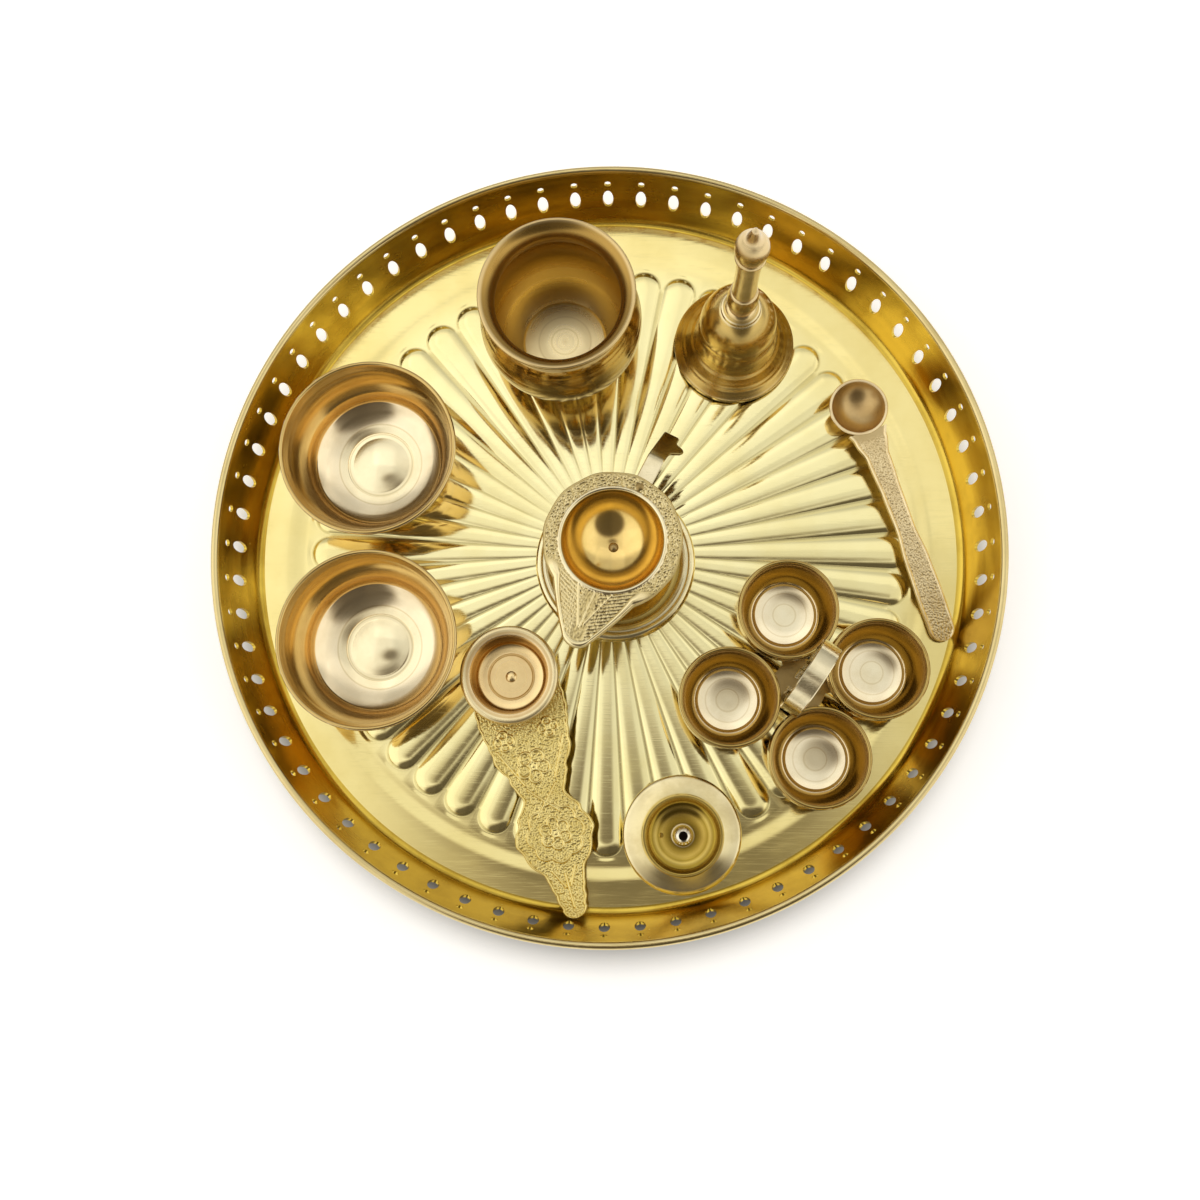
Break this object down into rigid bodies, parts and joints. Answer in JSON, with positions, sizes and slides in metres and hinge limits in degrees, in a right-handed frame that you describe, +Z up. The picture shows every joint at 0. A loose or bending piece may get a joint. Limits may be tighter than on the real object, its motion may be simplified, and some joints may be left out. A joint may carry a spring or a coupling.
{
  "type": "puja thali",
  "caption": "Round brass worship tray with fluted floor and pierced wall, carrying a water pot, hand bell, oil lamp, camphor burner, bowls, cups, spoon and incense stand.",
  "frame": {"origin": "centre of the tray's underside, on the table", "axes": "+Z up, out of the tray; +Y towards the side where the water pot and the bell stand; +X to the right of that"},
  "size_m": [0.305, 0.305, 0.1106],
  "materials": {
    "plate_brass": "polished, pressed sheet with fine scratches",
    "turned_brass": "turned and brushed",
    "bowl_brass": "spun and polished",
    "cast_brass": "cast, stippled, raised parts polished",
    "lamp_brass": "turned and polished",
    "burner_brass": "turned, coppery inside",
    "cup_brass": "spun, turned rings on the floor"
  },
  "bodies": {
    "tray": {"thali_plate": "plate_brass"},
    "kalash": {"kalash": "turned_brass"},
    "bell": {"bell_body": "turned_brass", "bell_handle": "turned_brass", "bell_eye": "turned_brass"},
    "clapper_link": {"clapper_link": "turned_brass"},
    "clapper": {"clapper_rod": "turned_brass", "clapper_ball": "turned_brass"},
    "spoon": {"spoon": "cast_brass"},
    "bowl_north": {"bowl_north": "bowl_brass"},
    "bowl_south": {"bowl_south": "bowl_brass"},
    "burner": {"burner_foot": "burner_brass", "burner_handle": "cast_brass", "burner_cup": "burner_brass", "burner_rivet": "burner_brass"},
    "lamp": {"lamp_pedestal": "lamp_brass", "lamp_leaf": "cast_brass", "lamp_screw": "lamp_brass", "lamp_handle": "lamp_brass", "lamp_handle_rivet": "lamp_brass"},
    "cup_set": {"cup_east": "cup_brass", "cup_north": "cup_brass", "cup_west": "cup_brass", "cup_south": "cup_brass", "cup_frame": "cup_brass", "cup_rivets": "cup_brass", "cup_handle": "cup_brass", "cup_handle_rivets": "cup_brass"},
    "incense_stand": {"incense_base": "turned_brass", "incense_ball": "turned_brass"}
  },
  "joints": [
    {"name": "kalash_lift", "type": "slide", "parent": "tray", "child": "kalash", "axis": [0, 0, 1], "range_m": [0, 0.12]},
    {"name": "bell_lift", "type": "slide", "parent": "tray", "child": "bell", "axis": [0, 0, 1], "range_m": [0, 0.12]},
    {"name": "spoon_lift", "type": "slide", "parent": "tray", "child": "spoon", "axis": [0, 0, 1], "range_m": [0, 0.12]},
    {"name": "bowl_north_lift", "type": "slide", "parent": "tray", "child": "bowl_north", "axis": [0, 0, 1], "range_m": [0, 0.12]},
    {"name": "bowl_south_lift", "type": "slide", "parent": "tray", "child": "bowl_south", "axis": [0, 0, 1], "range_m": [0, 0.12]},
    {"name": "burner_lift", "type": "slide", "parent": "tray", "child": "burner", "axis": [0, 0, 1], "range_m": [0, 0.12]},
    {"name": "lamp_lift", "type": "slide", "parent": "tray", "child": "lamp", "axis": [0, 0, 1], "range_m": [0, 0.12]},
    {"name": "cup_set_lift", "type": "slide", "parent": "tray", "child": "cup_set", "axis": [0, 0, 1], "range_m": [0, 0.12]},
    {"name": "incense_stand_lift", "type": "slide", "parent": "tray", "child": "incense_stand", "axis": [0, 0, 1], "range_m": [0, 0.12]},
    {"name": "link_swing", "type": "hinge", "parent": "bell", "child": "clapper_link", "pos_m": [0.0516, 0.0862, 0.0313], "axis": [1, 0, 0], "range_deg": [-20, 20]},
    {"name": "clapper_swing", "type": "hinge", "parent": "clapper_link", "child": "clapper", "pos_m": [0.0516, 0.0862, 0.0274], "axis": [0, 1, 0], "range_deg": [-22, 22]}
  ]
}
